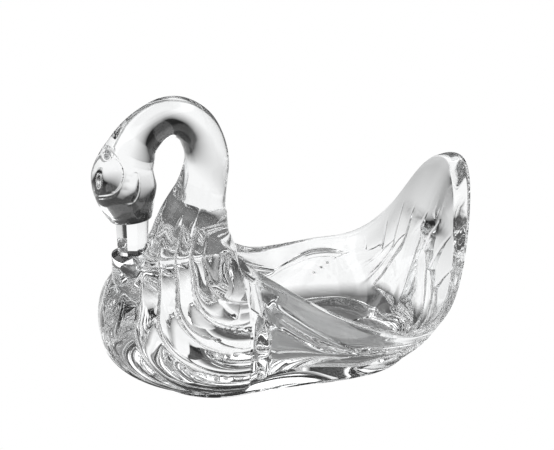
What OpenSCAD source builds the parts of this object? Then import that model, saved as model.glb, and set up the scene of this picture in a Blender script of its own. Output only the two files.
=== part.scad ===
// Crystal swan dish: an open bowl in the shape of a swan, in clear pressed glass.
// X runs along the swan, head at -X and tail at +X. The two sides mirror each other in Y.
// It stands on Z = 0, and the origin is the middle of the underside of its foot.

/* [Bowl] */
// reach of the rim behind the breast seam, to the back of the tail
tail_reach = 164; // [120:1:200]
// greatest width over the rim
bowl_w = 146; // [110:1:180]
// distance behind the seam at which the rim is widest
widest_x = 97; // [70:1:120]
// width of the rim where it meets the breast
rim_seam_w = 62; // [40:1:84]
// width of the bowl at the seam, at its foot
foot_seam_w = 74; // [50:1:84]
// height of the rim where it meets the breast
rim_front_h = 81; // [60:1:88]
// height of the rim at the sides, where it is lowest
rim_side_h = 36.5; // [28:1:60]
// height of the tip of the tail
tail_h = 111; // [80:1:150]
// thickness of the wall at the side rim
wall_t = 5; // [3:0.5:8]
// thickness of the tail at its edge
tail_t = 12; // [5:0.5:14]
// thickness of the glass under the bowl
floor_t = 13; // [8:0.5:20]
// thickness of the front wall of the bowl at the rim
front_wall_t = 6; // [4:0.5:12]

/* [Foot] */
// thickness of the flat foot
foot_t = 2.5; // [1.5:0.5:6]
// reach of the foot behind the seam
foot_back = 121; // [90:1:140]
// reach of the foot in front of the seam
foot_front = 40; // [30:1:60]
// greatest width of the foot
foot_w = 93; // [60:1:110]

/* [Breast] */
// reach of the breast in front of the seam
breast_reach = 75; // [55:1:100]
// greatest width of the breast
breast_w = 102; // [86:1:130]
// height at which the breast is fullest
breast_mid_h = 46; // [35:1:60]
// height of the joint between breast and neck
neck_joint_h = 105; // [96:1:120]
// width of the broad feather rolls on the breast, at mid height
roll_w = 11; // [8:0.5:16]
// depth of the grooves between the rolls
roll_depth = 2.4; // [0.5:0.1:3.5]

/* [Neck and head] */
// height over the top of the neck
overall_h = 182.5; // [160:1:230]
// diameter of the neck at its top
neck_d = 23.6; // [16:0.5:32]
// distance between the rising and falling parts of the neck
loop_span = 50; // [40:1:60]
// length of the head, front to back
head_l = 40; // [30:1:48]
// width of the head
head_w = 29; // [20:0.5:36]
// length of the bill
bill_l = 22; // [14:0.5:30]
// width of the bill
bill_w = 15; // [10:0.5:20]
// depth of the bill, front to back
bill_d = 20.5; // [12:0.5:26]

/* [Wings] */
// thickness of a wing layer at its lower edge
wing_t = 4.2; // [2:0.2:5]
// thickness of a wing layer at its upper edge
wing_edge_t = 1.2; // [0.8:0.1:2]

/* [Hidden] */
glass = [0.86, 0.90, 0.92, 0.55];
// the whole is slid along X so that the origin is the middle of the foot's underside
slide_x = (foot_front - foot_back) / 2;

// ---- shared helpers ----
function mix(a, b, t) = a + (b - a) * t;
function clamp(t) = min(1, max(0, t));
function ease(t) = let (c = clamp(t)) c * c * (3 - 2 * c);
// the larger of two lengths, with the corner between them rounded
function soft_max(a, b, n) = pow(pow(max(a, 0), n) + pow(max(b, 0), n), 1 / n);
// quarter of a rounded square: 1 at t = 0, falling to 0 at t = 1
function round_off(t, n) = pow(1 - pow(clamp(abs(t)), n), 1 / n);
// smooth curve through a list of stations
function through(list, t) =
    let (n = len(list) - 1, u = clamp(t) * n, i = min(floor(u), n - 1), f = u - i,
         a = list[max(i - 1, 0)], b = list[i], c = list[i + 1], d = list[min(i + 2, n)])
    b + (c - a) * f / 2 + (2 * a - 5 * b + 4 * c - d) * f * f / 2
    + (3 * b - a - 3 * c + d) * f * f * f / 2;
function middle(ring) = [for (k = [0:2]) let (c = [for (p = ring) p[k]]) c * [for (p = ring) 1] / len(ring)];
function side_faces(rings, n) =
    [for (i = [0:rings - 2], j = [0:n - 1])
        let (a = i * n + j, b = i * n + (j + 1) % n)
        each [[a, b, b + n], [a, b + n, a + n]]];

// a closed solid through a list of rings, shut at both ends by a fan of faces
module skin(rings) {
    m = len(rings);
    n = len(rings[0]);
    polyhedron(
        points = [for (r = rings) each r, middle(rings[0]), middle(rings[m - 1])],
        faces = concat(
            side_faces(m, n),
            [for (j = [0:n - 1]) [(j + 1) % n, j, m * n]],
            [for (j = [0:n - 1]) [(m - 1) * n + j, (m - 1) * n + (j + 1) % n, m * n + 1]]),
        convexity = 10);
}

// a closed solid through thin rings, whose second half runs back beside the first
module strip(rings) {
    m = len(rings);
    n = len(rings[0]);
    h = n / 2;
    last = (m - 1) * n;
    polyhedron(
        points = [for (r = rings) each r],
        faces = concat(
            side_faces(m, n),
            [for (j = [0:h - 2]) each [[j + 1, j, n - 1 - j], [j + 1, n - 1 - j, n - 2 - j]]],
            [for (j = [0:h - 2]) each [[last + j, last + j + 1, last + n - 1 - j],
                                       [last + j + 1, last + n - 2 - j, last + n - 1 - j]]]),
        convexity = 10);
}

// ---- outline of the foot ----
// length of its rounded back end
foot_round_l = 46;
foot_mid_x = foot_back - foot_round_l;
function foot_half_w(x) =
    x < 0 ? foot_seam_w / 2 * round_off(-x / foot_front, 2)
    : x < foot_mid_x ? mix(foot_seam_w, foot_w, ease(x / foot_mid_x)) / 2
    : foot_w / 2 * round_off((x - foot_mid_x) / (foot_back - foot_mid_x), 2.2);

module foot() {
    n = 48;
    half = [for (i = [0:n]) let (x = -slide_x - (foot_back + foot_front) / 2 * cos(180 * i / n))
        [x, foot_half_w(x)]];
    color(glass) translate([slide_x, 0, 0]) linear_extrude(foot_t)
        polygon([each half, for (i = [n - 1:-1:1]) [half[i][0], -half[i][1]]]);
}

// ---- the breast: level rings, flat at the back where the bowl joins ----
breast_low = (breast_mid_h - foot_t) / pow(1 - pow(foot_front / breast_reach, 2.6), 1 / 2.6);
breast_high = 58;
// height at which the breast is widest
side_mid_h = 38;
side_low = (side_mid_h - foot_t) / pow(1 - pow(foot_seam_w / breast_w, 3), 1 / 3);
shoulder_h = 52;
// the neck's base: half its length along X, half its width, and where its middle lies
neck_base_a = 22;
neck_base_b = 17;
neck_base_x = -17;
// how fast the breast spreads below the neck's base, to the front and to the sides
stem_front = 0.4;
stem_side = 0.35;

function breast_front(z) =
    z < breast_mid_h ? breast_reach * round_off((breast_mid_h - z) / breast_low, 2.6)
    : let (body = breast_reach * round_off((z - breast_mid_h) / breast_high, 1.8),
           stem = neck_base_a - neck_base_x + (neck_joint_h - z) * stem_front)
      mix(body, soft_max(body, stem, 8), ease((z - breast_mid_h) / 20));
function breast_half_w(z) =
    z < side_mid_h ? breast_w / 2 * round_off((side_mid_h - z) / side_low, 3)
    : let (body = breast_w / 2 * round_off((z - side_mid_h) / shoulder_h, 2.4),
           stem = neck_base_b + (neck_joint_h - z) * stem_side)
      mix(body, soft_max(body, stem, 7), ease((z - side_mid_h) / 25));
function breast_mid_x(z) =
    neck_base_x * ease((z - rim_front_h) / (neck_joint_h - rim_front_h));
function breast_back(z) =
    (neck_base_a + neck_base_x) * ease((z - rim_front_h) / 12) - breast_mid_x(z);

// feather rolls that fall from the neck and sweep back to the seam: nested arcs, one for each whole k
// the first arc: its reach in front of the seam, its drop, and the height where it turns in
first_arc_reach = 33;
first_arc_drop = 22;
arc_drop_step = 9;
first_arc_h = 72;
arc_h_step = 7;
first_groove = -1;
// height over which the rolls die out, up the foot of the neck
roll_fade = 22;
// how far the arcs lean back as they rise to the neck
arc_lean = 0.42;
function outside_arc(x, z, k) =
    let (reach = first_arc_reach + roll_w * k, up = z - first_arc_h + arc_h_step * k)
    up < 0 ? norm([x / reach, up / (first_arc_drop + arc_drop_step * k)]) > 1
    : abs(x) + arc_lean * up * up / (up + 8) > reach;
function arc_at(x, z, lo, hi, n) =
    let (k = (lo + hi) / 2)
    n == 0 ? k : outside_arc(x, z, k) ? arc_at(x, z, k, hi, n - 1) : arc_at(x, z, lo, k, n - 1);
// 0 on the crown of a roll, 1 at the bottom of the groove beside it
function roll_dip(u) = pow(abs(2 * u - 1), 2.4);
function groove(x, y, z) =
    let (k = arc_at(x, z, -2.4, 7, 14),
         dip = k < first_groove ? pow(max(0, 1 - (first_groove - k) / 0.5), 2) : roll_dip(k - floor(k)),
         share = k < first_groove + 0.5 ? 0.45 : 1,
         clear = ease((norm([x - pad_x, y]) - pad_w / 2) / 5))
    clear * roll_depth * dip * share * ease((abs(y) - 3) / 8)
    * (1 - ease((z - neck_joint_h + 8) / roll_fade)) * ease((z - foot_t) / 5);

// the foot of the neck laps over the top of the bowl's front wall, as far as its inner corners
function lap(y, z) =
    front_wall_t * clamp((rim_seam_w / 2 - abs(y)) / (wall_t + corner_r))
    * (z > rim_front_h ? 1 - ease((z - rim_front_h) / 16) : 0);

breast_n = 84;
breast_back_n = 12;
function breast_ring(z) =
    let (front = breast_front(z), w = breast_half_w(z), c = breast_mid_x(z), back = breast_back(z),
         corner = 1 - groove(c, w, z) / w,
         turns = [for (i = [0:breast_n]) 90 + 180 * i / breast_n,
                  for (i = [1:breast_back_n - 1]) 270 + 180 * i / breast_back_n])
    [for (a = turns)
        let (reach = cos(a) < 0 ? front + c : back,
             x = reach * cos(a), y = w * sin(a),
             r = norm([x, y]),
             k = cos(a) < 0.001 ? 1 - groove(c + x, y, z) / max(r, 1) : corner)
        [c + x * k + (cos(a) < 0.001 ? 0 : lap(y * k, z)), y * k, z]];

// the lap stands this much above the rim at its inner edge
lap_step = 0.4;
module breast() {
    low = 15;
    mid = 12;
    high = 9;
    levels = [for (i = [0:low - 1]) mix(foot_t, breast_mid_h, sin(90 * i / low)),
              for (i = [0:mid]) mix(breast_mid_h, rim_front_h, i / mid),
              for (i = [0:high]) mix(rim_front_h + lap_step, neck_joint_h, i / high)];
    color(glass) translate([slide_x, 0, 0]) skin([for (z = levels) breast_ring(z)]);
}

// ---- neck and head: rings along a curve in the middle plane ----
neck_x = -7;
top_z = overall_h - neck_d / 2;
neck_r = neck_d / 2;
head_x = neck_x - loop_span;
bill_seat_x = head_x + 3;
bill_tip_h = 89.5;
bill_root_h = bill_tip_h + bill_l;
// height of the middle of the head above the root of the bill
head_rise = 25.5;
head_mid_h = bill_root_h + head_rise;
// each station: along X, height, half size in the plane, half size across
neck_line = [
    [neck_base_x, neck_joint_h, neck_base_a, neck_base_b],
    [neck_x - 3.5, neck_joint_h + 16, neck_r * 1.3, neck_r * 1.24],
    [neck_x + 0.5, mix(neck_joint_h, top_z, 0.55), neck_r * 1.1, neck_r * 1.1],
    [neck_x - 4.5, mix(neck_joint_h, top_z, 0.82), neck_r * 1.03, neck_r * 1.04],
    [neck_x - loop_span * 0.28, mix(neck_joint_h, top_z, 0.965), neck_r, neck_r * 1.01],
    [neck_x - loop_span * 0.48, top_z, neck_r, neck_r],
    [neck_x - loop_span * 0.7, mix(head_mid_h, top_z, 0.88), neck_r * 1.02, neck_r * 1.02],
    [neck_x - loop_span * 0.87, mix(head_mid_h, top_z, 0.66), neck_r * 1.15, neck_r * 1.06],
    [head_x + 1, mix(head_mid_h, top_z, 0.36), mix(neck_r, head_l / 2, 0.6), mix(neck_r, head_w / 2, 0.6)]];
neck_end = neck_line[len(neck_line) - 1];
head_line = [
    neck_end,
    [head_x - 1.5, head_mid_h, head_l / 2, head_w / 2],
    [head_x - 0.5, mix(bill_root_h, head_mid_h, 0.48), head_l * 0.43, head_w * 0.45],
    [bill_seat_x - 1, bill_root_h, bill_d * 0.62, bill_w * 0.58]];

// rings square to the curve, turned level at the two ends that meet flat faces
function bearing(line, t) =
    let (a = through(line, max(t - 0.01, 0)), b = through(line, min(t + 0.01, 1)))
    atan2(b[1] - a[1], b[0] - a[0]);
joint_bearing = bearing(neck_line, 1);
function wrap(a) = a < 0 ? a + 360 : a;
function neck_bearing(t) =
    mix(mix(90, wrap(bearing(neck_line, t)), ease(t / 0.12)), wrap(joint_bearing), ease((t - 0.9) / 0.1));
function head_bearing(t) = mix(wrap(joint_bearing), 270, ease(t / 0.7));
function tube_ring(s, heading, n) =
    [for (i = [0:n - 1])
        let (a = 360 * i / n, u = s[2] * cos(a))
        [s[0] + u * sin(heading), s[3] * sin(a), s[1] - u * cos(heading)]];

// the foot of the neck carries on the grooves of the breast
function grooved(p, c) =
    let (d = [p[0] - c, p[1]], k = d[0] < 0 ? 1 - groove(p[0], p[1], p[2]) / max(norm(d), 1) : 1)
    p[2] > neck_joint_h + roll_fade ? p : [c + d[0] * k, p[1] * k, p[2]];
module neck() {
    color(glass) translate([slide_x, 0, 0])
        skin([for (i = [0:36])
            let (t = i / 36, s = through(neck_line, t))
            [for (p = tube_ring(s, neck_bearing(t), 32)) t < 0.3 ? grooved(p, s[0]) : p]]);
}

// the eye: a teardrop dome on each side of the head, with a groove round it
eye_top = [head_x + 0.6, head_mid_h + 10];
eye_low = [head_x - 4.4, head_mid_h - 10.3];
eye_half_w = 4.6;
eye_bulge = 2.2;
eye_groove = 0.35;
function eye_rise(x, z) =
    let (run = eye_top - eye_low, long = norm(run), d = [x, z] - (eye_top + eye_low) / 2,
         along = d * run / long, across = (d[0] * run[1] - d[1] * run[0]) / long,
         r = norm([2 * along / long, across / (eye_half_w * (1 - 0.35 * along / long))]))
    (r < 1 ? eye_bulge * pow(1 - r * r, 2) : 0) - eye_groove * exp(-pow((r - 1) / 0.14, 2));
function eyed(p, half_w, t) =
    let (k = ease((abs(p[1]) / half_w - 0.55) / 0.3) * ease(t / 0.1) * ease((1 - t) / 0.15))
    [p[0], p[1] + sign(p[1]) * k * eye_rise(p[0], p[2]), p[2]];

module head() {
    n = 24;
    color(glass) translate([slide_x, 0, 0]) skin([
        for (i = [0:n]) let (t = i / n, s = through(head_line, t))
            [for (p = tube_ring(s, head_bearing(t), 40)) eyed(p, s[3], t)]]);
}

// height of the breast under a point, found by halving
function breast_top(x, y, lo, hi, n) =
    let (z = (lo + hi) / 2)
    n == 0 ? z
    : let (c = breast_mid_x(z),
           inside = pow((x - c) / (breast_front(z) + c), 2) + pow(y / breast_half_w(z), 2) < 1)
      inside ? breast_top(x, y, z, hi, n - 1) : breast_top(x, y, lo, z, n - 1);

// what the bill rests on: the flat top of the chest pad, or the breast where it rises higher
pad_edge_t = 0.6;
seat_gap = 0.05;
function breast_under(p) = breast_top(p[0], p[1], 20, neck_joint_h, 18);
function seat_h(p) = max(bill_tip_h, breast_under(p) + pad_edge_t);

module bill() {
    n = 28;
    function spot(a, k) =
        [bill_seat_x + k * bill_d / 2 * sign(cos(a)) * (1 - pow(abs(sin(a)), 1.8)), k * bill_w / 2 * sin(a)];
    side = 5;
    cap = 4;
    color(glass) translate([slide_x, 0, 0]) skin([
        for (i = [0:side]) [for (j = [0:n - 1])
            let (p = spot(360 * j / n, mix(1, 0.92, i / side)))
            [p[0], p[1], mix(bill_root_h, seat_h(p) + seat_gap, i / side)]],
        for (i = [1:cap - 1]) [for (j = [0:n - 1])
            let (p = spot(360 * j / n, 0.92 * (1 - i / cap)))
            [p[0], p[1], seat_h(p) + seat_gap]]]);
}

// ---- the bowl: each column of points stands in an upright plane ----
// columns turn about the widest place at the back, and step along X at the sides
rim_back = tail_reach - widest_x;
// mean radius of the back wall, by which widths and runs along it are measured
turn_r = 60;
function rim_half_w(x) = mix(rim_seam_w, bowl_w, (1 - cos(180 * x / widest_x)) / 2) / 2;
function rim_z(c) =
    c < 1 ? mix(rim_side_h, tail_h, pow(cos(90 * pow(c, 1.1)), 3.1))
    : mix(rim_side_h, rim_front_h, pow(c - 1, 1.8));
function swell(c) = c < 1 ? mix(-2.5, 3, c) : mix(3, 9, ease(c - 1));
function flare(c) = c < 1 ? 1.5 * pow(cos(90 * c), 2) : 0;
// plan reach of the rim and of the foot from the turning axis, at the back
rim_n = 1.65;
function rim_reach(a) = pow(pow(cos(a) / rim_back, rim_n) + pow(2 * sin(a) / bowl_w, rim_n), -1 / rim_n);
function foot_reach_to(a, lo, hi, n) =
    let (r = (lo + hi) / 2)
    n == 0 ? r
    : let (x = widest_x + r * cos(a))
      x < foot_back && r * sin(a) < foot_half_w(x) ? foot_reach_to(a, r, hi, n - 1)
      : foot_reach_to(a, lo, r, n - 1);
function foot_reach(a) = foot_reach_to(a, 0, foot_back, 18);

// reach of the plain outer wall, at a share v of the rim's height
function wall_reach(c, v) =
    let (t = swell(c) * sin(180 * v) + flare(c) * sin(360 * v))
    c < 1 ? mix(foot_reach(90 * c), rim_reach(90 * c), v) + t
    : let (x = widest_x * (2 - c)) mix(foot_half_w(x), rim_half_w(x), v) + t;
function place(c, r, z) =
    c < 1 ? [widest_x + r * cos(90 * c), -r * sin(90 * c), z] : [widest_x * (2 - c), -r, z];
function height(c, v) = mix(foot_t, rim_z(c), v);

// tail feathers: long rounded fingers that rise and fan out behind the wings
finger_w = 7;
finger_dip = 3;
finger_n = 5;
// degrees between the tips of the fingers, and how far they lean at their roots
finger_turn = 15;
finger_lean = 46;
finger_low_h = 10;
function finger(c, z) =
    let (along = 90 * c)
    max([for (i = [0:finger_n - 1])
        let (tip_a = finger_turn * i,
             tip_z = mix(tail_h * 0.6, rim_side_h * 0.95, pow(i / (finger_n - 1), 0.8)),
             rise = clamp((z - finger_low_h) / (tip_z - finger_low_h)),
             lean = i == 0 ? 0 : finger_lean * pow(1 - rise, 1.2),
             off = (along - tip_a - lean) * turn_r * PI / 180,
             end = z > tip_z ? 0 : min(1, sqrt((tip_z - z) / finger_w)))
        1 - pow(abs(off) / (finger_w * max(end, 0.05)), 2)]);
function dip(c, v) =
    let (z = height(c, v), f = finger(c, z),
         k = ease((z - 12) / 8) * ease((tail_h * 0.66 - z) / 6)
             * ease((1.35 - c) / 0.2) * ease((0.92 - v) / 0.1))
    finger_dip * k * (1 - ease(f));
function outer(c, v) = place(c, wall_reach(c, v) - dip(c, v), height(c, v));

// the fold lines of the wing, as heights; they run together behind the side
function seam_run(c) = c < 1 ? widest_x + (1 - c) * turn_r * PI / 2 : widest_x * (2 - c);
// each fold: the run over which it falls or rises, its far height, and its change of height
fold_low_run = 95;
fold_low_h = 11;
fold_low_rise = 15;
fold_mid_run = 60;
fold_mid_gap = 1.5;
fold_mid_fall = 49;
fold_top_run = 80;
fold_top_h = 21;
fold_top_fall = 58;
fold_top_max = rim_front_h - 5;
function fold_low(s) = fold_low_h + fold_low_rise * (1 - pow(clamp(1 - s / fold_low_run), 1.6));
function fold_mid(s) = fold_low(s) + fold_mid_gap + fold_mid_fall * pow(clamp(1 - s / fold_mid_run), 1.5);
function fold_top(s) =
    let (z = fold_top_h + fold_top_fall * pow(clamp(1 - s / fold_top_run), 1.5))
    max(fold_mid(s) + 2, min(z, fold_top_max));
// shares of the height at which rows of points lie: folds, then even
row_steps = [2, 3, 4, 4];
fold_gap = 0.012;
function row_stops(c) =
    let (s = seam_run(c), h = rim_z(c), even = ease((0.75 - c) / 0.35),
         share = [0, for (z = [fold_low(s), fold_mid(s), fold_top(s)]) (z - foot_t) / (h - foot_t), 0.96],
         plain = [0, 0.12, 0.34, 0.56, 0.96])
    [for (i = [0:4]) mix(min(share[i], 0.72 + i * 0.06), plain[i], even)];
function rows(c) =
    let (stop = row_stops(c))
    [for (i = [0:3], k = [0:row_steps[i]])
        mix(stop[i] + (i > 0 ? fold_gap : 0), stop[i + 1], k / row_steps[i]), 1];

// inner wall
function edge_t(c) = c < 1 ? mix(wall_t, tail_t, pow(cos(90 * c), 2)) : wall_t;
// radii of the hollow: from wall to floor, and at its front corners
hollow_r = 17;
corner_r = 12;
// how much thicker the glass is at the foot of the side wall and of the front wall
side_swell = 3;
front_swell = 8;
inner_n = 9;
function inner(c, g) =
    let (h = rim_z(c), deep = h - floor_t, r0 = min(hollow_r, deep * 0.7),
         wall = g < 0.5,
         z = wall ? mix(h, floor_t + r0, g * 2) : floor_t + r0 * (1 - sin(180 * (g - 0.5))),
         v = (z - foot_t) / (h - foot_t),
         q = clamp((z - floor_t) / r0),
         back = r0 * (1 - sqrt(1 - pow(1 - q, 2))),
         r = wall_reach(c, v) - edge_t(c) - side_swell * (1 - v) - back,
         x = widest_x * (2 - c),
         near = front_wall_t + back + front_swell * (1 - v),
         bend = min(corner_r, r * 0.6),
         cut = bend - sqrt(max(bend * bend - pow(max(bend - x, 0), 2), 0)))
    c < 1 ? place(c, r, z)
    : [mix(near, widest_x, x / widest_x), cut - r, z];
// the rim is crowned, and runs out flat where the neck stands on it
lip_rise = 1;
function lip(c, side) =
    let (a = outer(c, 1), b = inner(c, 0), m = (a + b) / 2)
    mix(m, side < 0 ? a : b, 0.55) + [0, 0, lip_rise * ease((2 - c) / 0.12)];

// columns of one side, from the tail round to the seam, then across the front to the middle
back_n = 30;
side_n = 22;
front_n = 5;
turns = [for (i = [0:back_n]) i / back_n, for (i = [1:side_n]) 2 - pow(1 - i / side_n, 1.5)];
function front_col(k, col) = [for (p = col) [p[0], p[1] * k, p[2]]];
function column(c) =
    [for (v = rows(c)) outer(c, v), lip(c, -1), lip(c, 1), for (i = [0:inner_n]) inner(c, i / inner_n)];
function all_columns() =
    let (half = [for (c = turns) column(c)], seam = half[len(half) - 1],
         front = [for (i = [1:front_n]) front_col(1 - i / front_n, seam)],
         one = concat(half, front), n = len(one))
    concat(one, [for (i = [n - 2:-1:1]) [for (p = one[i]) [p[0], -p[1], p[2]]]]);

tail_joint_h = 58;
module tail_side() translate([widest_x, -bowl_w, tail_joint_h]) cube([tail_reach, 2 * bowl_w, 2 * tail_h]);
module dish() {
    cols = all_columns();
    n = len(cols[0]);
    skin([for (k = [0:n - 1]) [for (c = cols) c[k]]]);
}
module bowl() {
    color(glass) translate([slide_x, 0, 0]) difference() {
        dish();
        tail_side();
    }
}
module tail() {
    color(glass) translate([slide_x, 0, 0]) intersection() {
        dish();
        tail_side();
    }
}

// ---- wings: three overlapping layers laid on the side of the bowl, thick at their lower edges ----
// where the wing ends round the back, in shares of the quarter turn, and the taper before that
wing_end = 0.8;
wing_taper = 0.12;
wing_min_t = 0.8;
// the plain facet of the shoulder runs this far behind the seam
shoulder_run = 22;
// a lens-shaped post: its run behind the seam, half width, thickness, mid height and half height
post_run = 8.5;
post_w = 5;
post_t = 2.2;
post_h = 33;
post_half_l = 21;
// layers from the base up: a band, a hollow facet, a blade with a bead along its lower edge, a rim
bead_w = 0.42;
function blade_t(f) =
    f < bead_w ? wing_t * (0.45 + 0.55 * sqrt(1 - pow(2 * f / bead_w - 1, 2)))
    : wing_t * mix(0.3, 0.75, pow(2 * (f - bead_w) / (1 - bead_w) - 1, 2));
function layer_t(i, f) =
    i == 0 ? mix(wing_edge_t, wing_t * 0.6, pow(f, 2))
    : i == 1 ? mix(wing_edge_t, wing_t * 0.9, pow(2 * f - 1, 2))
    : i == 2 ? blade_t(f)
    : mix(wing_t * 0.75, wing_edge_t, sqrt(f));
function post(s, z) =
    let (tall = sqrt(max(0.01, 1 - pow((z - post_h) / post_half_l, 2))))
    abs(z - post_h) < post_half_l ? post_t * sqrt(max(0, 1 - pow((s - post_run) / (post_w * tall), 2))) : 0;
function wing_t_at(c, i, f, z) =
    let (s = seam_run(c), flat = ease((shoulder_run - s) / 3) * (i > 1 ? 1 : 0),
         fade = ease((c - wing_end) / wing_taper),
         plain = mix(layer_t(i, f), wing_t * 0.75, flat))
    max(mix(wing_edge_t * 0.7, plain + post(s, z), fade), wing_min_t);
module wing() {
    cols = [for (c = turns) if (c >= wing_end) c];
    marks = [for (i = [0:3], k = [0:row_steps[i]]) [i, k / row_steps[i]]];
    n = len(marks);
    color(glass) translate([slide_x, 0, 0]) strip([for (c = cols) let (v = rows(c)) [
        for (k = [0:n - 1])
            place(c, wall_reach(c, v[k]) - dip(c, v[k])
                + wing_t_at(c, marks[k][0], marks[k][1], height(c, v[k])), height(c, v[k])),
        for (k = [n - 1:-1:0]) outer(c, v[k])]]);
}
module left_wing() wing();
module right_wing() mirror([0, 1, 0]) wing();

// ---- pad on the breast that the bill rests on ----
pad_l = 19;
pad_w = 25;
// how far its edge droops below its flat top
pad_droop = 5;
pad_x = bill_seat_x - 3;
module chest_pad() {
    n = 32;
    function spot(a, k) = [pad_x + k * pad_l / 2 * cos(a), k * pad_w / 2 * sin(a)];
    function low(p) = breast_under(p) + seat_gap;
    function top(p, k) =
        max(bill_tip_h - pad_droop * pow(max(k - 0.5, 0), 1.5), low(p) + pad_edge_t - seat_gap);
    color(glass) translate([slide_x, 0, 0]) skin([
        for (k = [0.25:0.25:1]) [for (j = [0:n - 1]) let (p = spot(360 * j / n, k)) [p[0], p[1], low(p)]],
        for (k = [1, 0.85, 0.7, 0.5, 0.3]) [for (j = [0:n - 1])
            let (p = spot(360 * j / n, k)) [p[0], p[1], top(p, k)]]]);
}

foot();
bowl();
tail();
left_wing();
right_wing();
breast();
chest_pad();
neck();
head();
bill();
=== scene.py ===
# Crystal swan dish: one pressed and hot-worked piece of clear lead crystal, fire-polished all over.
# Each formed part is its own closed mesh.
# Where two parts are one glass, the shared faces let light straight through.
import math

import bmesh
import bpy
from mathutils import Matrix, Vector


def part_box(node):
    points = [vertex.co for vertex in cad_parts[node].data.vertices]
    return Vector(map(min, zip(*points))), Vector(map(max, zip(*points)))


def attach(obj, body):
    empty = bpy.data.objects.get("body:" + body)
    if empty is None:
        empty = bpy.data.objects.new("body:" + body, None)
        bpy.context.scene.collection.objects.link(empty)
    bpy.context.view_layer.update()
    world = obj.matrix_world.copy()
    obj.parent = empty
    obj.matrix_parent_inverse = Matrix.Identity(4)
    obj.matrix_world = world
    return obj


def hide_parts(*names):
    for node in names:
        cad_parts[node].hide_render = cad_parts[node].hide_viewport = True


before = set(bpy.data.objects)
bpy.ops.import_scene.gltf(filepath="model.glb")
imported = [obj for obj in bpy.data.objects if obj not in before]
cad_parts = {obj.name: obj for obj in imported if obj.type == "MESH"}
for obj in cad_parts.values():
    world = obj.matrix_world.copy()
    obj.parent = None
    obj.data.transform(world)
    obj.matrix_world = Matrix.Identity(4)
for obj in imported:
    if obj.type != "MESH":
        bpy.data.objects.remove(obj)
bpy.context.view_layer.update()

# ---- Foot ----
# The flat crystal plate that the swan stands on, pressed with the bowl and breast above it.
# Its underside is ground flat and polished, and its rim keeps a narrow ground bevel.
# Sizes here and below are in millimetres. X runs from the seam between breast and bowl to the tail.
mm = 0.001
foot_lo, foot_hi = (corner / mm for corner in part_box("foot"))
seam_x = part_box("bowl")[0].x / mm
foot_t = foot_hi.z
foot_front = seam_x - foot_lo.x
foot_back = foot_hi.x - seam_x
foot_w = 2 * foot_hi.y
foot_seam_w = 74
foot_round_l = 46
foot_mid_x = foot_back - foot_round_l
foot_bevel = 0.5
# distance behind the seam at which the swan is widest, about which its back is turned
widest_x = 97


def mix(a, b, t):
    """Part of the way from a to b."""
    return a + (b - a) * t


def clamp(t):
    return min(1, max(0, t))


def ease(t):
    """A soft step from 0 to 1."""
    c = clamp(t)
    return c * c * (3 - 2 * c)


def round_off(t, n):
    """Quarter of a rounded square: 1 at t = 0, falling to 0 at t = 1."""
    return (1 - clamp(abs(t)) ** n) ** (1 / n)


def sind(a):
    return math.sin(math.radians(a))


def cosd(a):
    return math.cos(math.radians(a))


def foot_half_w(x):
    """Half the width of the foot, at a distance behind the seam."""
    if x < 0:
        return foot_seam_w / 2 * round_off(-x / foot_front, 2)
    if x < foot_mid_x:
        return mix(foot_seam_w, foot_w, ease(x / foot_mid_x)) / 2
    return foot_w / 2 * round_off((x - foot_mid_x) / (foot_back - foot_mid_x), 2.2)


crystal_tint = (0.985, 0.992, 0.995, 1)
crystal_ior = 1.545
ripple_depth = 0.001
dullest = 0.012


def fire_polished(name, waviness, grain_mm):
    """Clear crystal, with the slow ripple that flame polishing leaves and a faint change of gloss."""
    glass = bpy.data.materials.new(name)
    glass.use_nodes = True
    nodes = glass.node_tree.nodes
    links = glass.node_tree.links
    shader = nodes["Principled BSDF"]
    shader.inputs["Base Color"].default_value = crystal_tint
    shader.inputs["Transmission Weight"].default_value = 1
    shader.inputs["IOR"].default_value = crystal_ior
    spot = nodes.new("ShaderNodeTexCoord")
    ripple = nodes.new("ShaderNodeTexNoise")
    ripple.inputs["Scale"].default_value = 1000 / grain_mm
    ripple.inputs["Detail"].default_value = 1.0
    links.new(spot.outputs["Object"], ripple.inputs["Vector"])
    bump = nodes.new("ShaderNodeBump")
    bump.inputs["Strength"].default_value = waviness
    bump.inputs["Distance"].default_value = ripple_depth
    links.new(ripple.outputs["Fac"], bump.inputs["Height"])
    links.new(bump.outputs["Normal"], shader.inputs["Normal"])
    gloss = nodes.new("ShaderNodeMapRange")
    gloss.inputs["From Min"].default_value = 0.35
    gloss.inputs["From Max"].default_value = 0.75
    gloss.inputs["To Min"].default_value = 0
    gloss.inputs["To Max"].default_value = dullest
    links.new(ripple.outputs["Fac"], gloss.inputs["Value"])
    links.new(gloss.outputs["Result"], shader.inputs["Roughness"])
    return glass


# Where two formed parts are one glass there is no surface, so the faces between them aren't seen.
fused = bpy.data.materials.new("fused_joint")
fused.use_nodes = True
fused.node_tree.nodes["Principled BSDF"].inputs["Alpha"].default_value = 0


def set_out(name, mesh):
    """Puts a finished mesh in the scene in place of the node of the same name."""
    piece = bpy.data.objects.new("crystal_" + name, mesh)
    bpy.context.scene.collection.objects.link(piece)
    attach(piece, "root")
    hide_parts(name)
    return piece


def sharpen_joints(work):
    """Keeps the shading of the glass apart from that of the fused faces beside it."""
    for edge in work.edges:
        if len({face.material_index for face in edge.link_faces}) > 1:
            edge.smooth = False


crease = 38


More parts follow.
